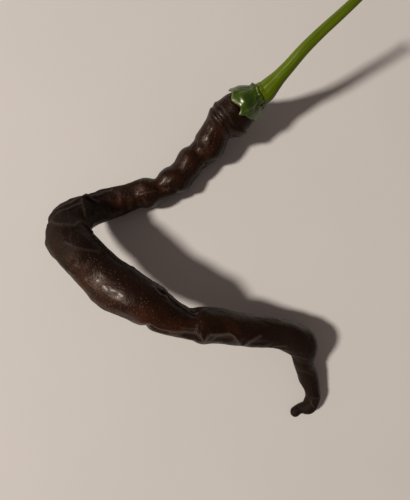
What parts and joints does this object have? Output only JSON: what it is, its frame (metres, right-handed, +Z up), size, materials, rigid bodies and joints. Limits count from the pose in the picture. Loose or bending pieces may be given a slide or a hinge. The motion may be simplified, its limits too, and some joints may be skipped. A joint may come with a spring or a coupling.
{
  "type": "chilli pepper",
  "caption": "Long dark-brown wrinkled chilli pepper as picked, bent in a V with a hooked tip, with its green calyx and stem, lying on its side.",
  "frame": {"origin": "on the surface that the chilli lies on, under the middle of its outline seen from above", "axes": "+Z up; +Y from the hooked tip's side towards the stem's side, the longest extent; +X from the elbow towards the tip and the stem"},
  "size_m": [0.1077, 0.152, 0.0358],
  "materials": {
    "pod_skin": "satin",
    "calyx_green": "satin",
    "stem_green": "satin"
  },
  "bodies": {
    "root": {"pod": "pod_skin", "calyx": "calyx_green", "stem": "stem_green"}
  },
  "joints": []
}
